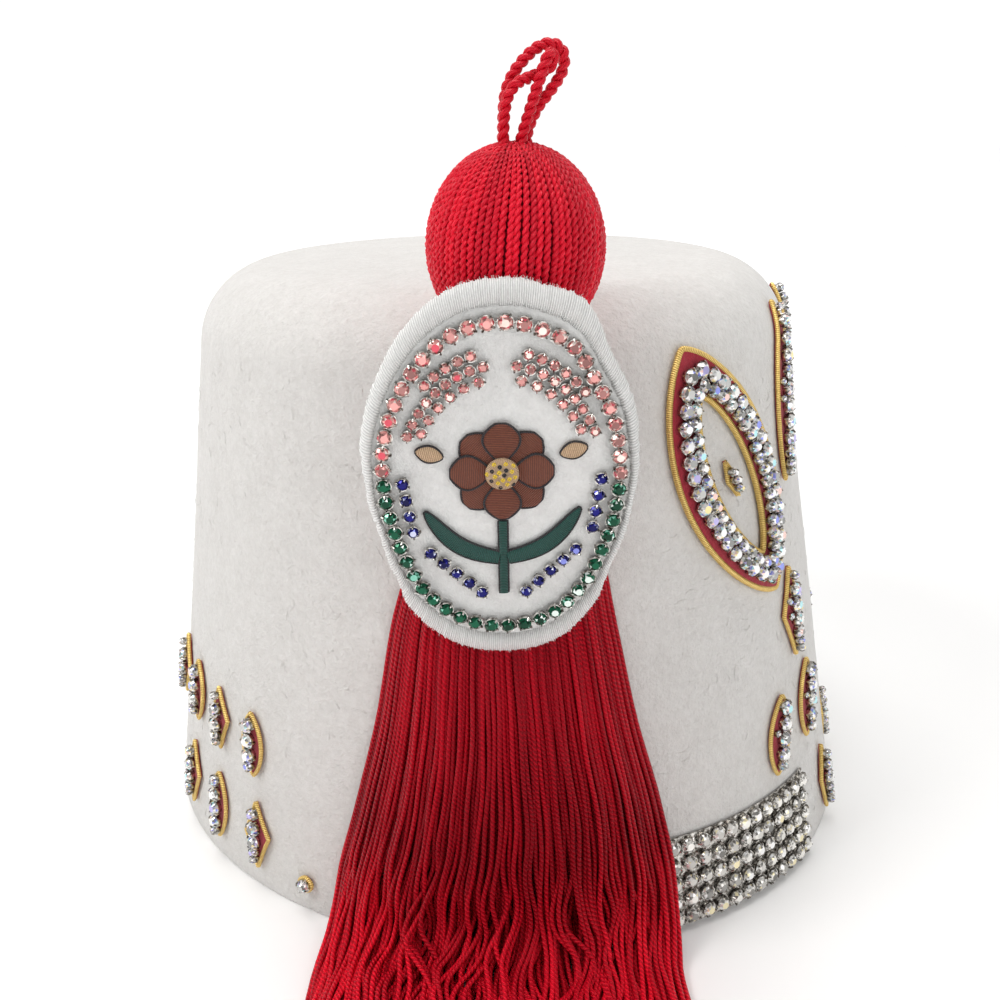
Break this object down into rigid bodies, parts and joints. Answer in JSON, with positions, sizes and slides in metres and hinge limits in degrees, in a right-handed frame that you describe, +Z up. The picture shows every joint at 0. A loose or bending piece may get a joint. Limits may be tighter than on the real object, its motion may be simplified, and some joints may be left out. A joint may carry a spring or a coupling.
{
  "type": "fez hat",
  "caption": "Tapered flat-topped felt fez, open at the bottom, with a ball tassel and fringe, an oval badge, and crystal and gold-cord ornaments on its wall.",
  "frame": {"origin": "centre of the head opening, in the plane of the rim that the hat rests on", "axes": "+Z up through the top of the crown, +X to the wearer's front, -Y to the wearer's right, where the tassel hangs"},
  "size_m": [0.2, 0.2474, 0.1984],
  "materials": {
    "white_felt": "stiff white wool felt, matt, very slightly warm",
    "badge_ground": "white felt ground of the badge",
    "badge_border": "white stitched border with a soft sheen",
    "pin_steel": "plain steel pin, hidden",
    "fringe_silk": "crimson twisted rayon strands with a silky sheen",
    "tassel_silk": "crimson twisted cord wound over the ball",
    "gold_cord": "gold bullion cord, metallic",
    "red_felt": "red felt backing",
    "clear_crystal": "clear cut crystals in silver cups, foiled",
    "pink_stone": "pink cut stones in silver cups, foiled",
    "green_stone": "green cut stones in silver cups, foiled",
    "blue_stone": "dark blue cut stones in silver cups, foiled",
    "brown_thread": "brown satin stitch",
    "tan_thread": "tan satin stitch",
    "teal_thread": "dark teal satin stitch",
    "gold_motif": "gold cord round clear crystals on red felt"
  },
  "bodies": {
    "root": {"back_dot_left": "gold_motif", "back_dot_right": "gold_motif", "back_lower_1_left": "gold_motif", "back_lower_1_right": "gold_motif", "back_lower_2_left": "gold_motif", "back_lower_2_right": "gold_motif", "back_lower_3_left": "gold_motif", "back_lower_3_right": "gold_motif", "back_upper_1_left": "gold_motif", "back_upper_1_right": "gold_motif", "back_upper_2_left": "gold_motif", "back_upper_2_right": "gold_motif", "back_upper_3_left": "gold_motif", "back_upper_3_right": "gold_motif", "back_upper_4_left": "gold_motif", "back_upper_4_right": "gold_motif", "badge_border": "badge_border", "badge_bud_left": "tan_thread", "badge_bud_right": "tan_thread", "badge_chain_green": "green_stone", "badge_chain_pink": "pink_stone", "badge_felt": "badge_ground", "badge_field_left": "pink_stone", "badge_field_right": "pink_stone", "badge_flower": "brown_thread", "badge_flower_centre": "tan_thread", "badge_spray_1_left": "blue_stone", "badge_spray_1_right": "blue_stone", "badge_spray_2_left": "blue_stone", "badge_spray_2_right": "blue_stone", "badge_sprig": "teal_thread", "crown": "white_felt", "crystal_band_left": "clear_crystal", "crystal_band_right": "clear_crystal", "front_lozenge_left": "gold_motif", "front_lozenge_right": "gold_motif", "low_leaf_1_left": "gold_motif", "low_leaf_1_right": "gold_motif", "low_leaf_2_left": "gold_motif", "low_leaf_2_right": "gold_motif", "rim_lozenge_left": "gold_motif", "rim_lozenge_right": "gold_motif", "ring_cord_inner_left": "gold_cord", "ring_cord_inner_right": "gold_cord", "ring_cord_outer_left": "gold_cord", "ring_cord_outer_right": "gold_cord", "ring_crystals_left": "clear_crystal", "ring_crystals_right": "clear_crystal", "ring_drop_left": "gold_motif", "ring_drop_right": "gold_motif", "ring_felt_left": "red_felt", "ring_felt_right": "red_felt", "tall_leaf_left": "gold_motif", "tall_leaf_right": "gold_motif", "tassel_ball": "tassel_silk", "tassel_fringe": "fringe_silk", "tassel_loop_inner": "tassel_silk", "tassel_loop_outer": "tassel_silk", "tassel_pin": "pin_steel"}
  },
  "joints": []
}
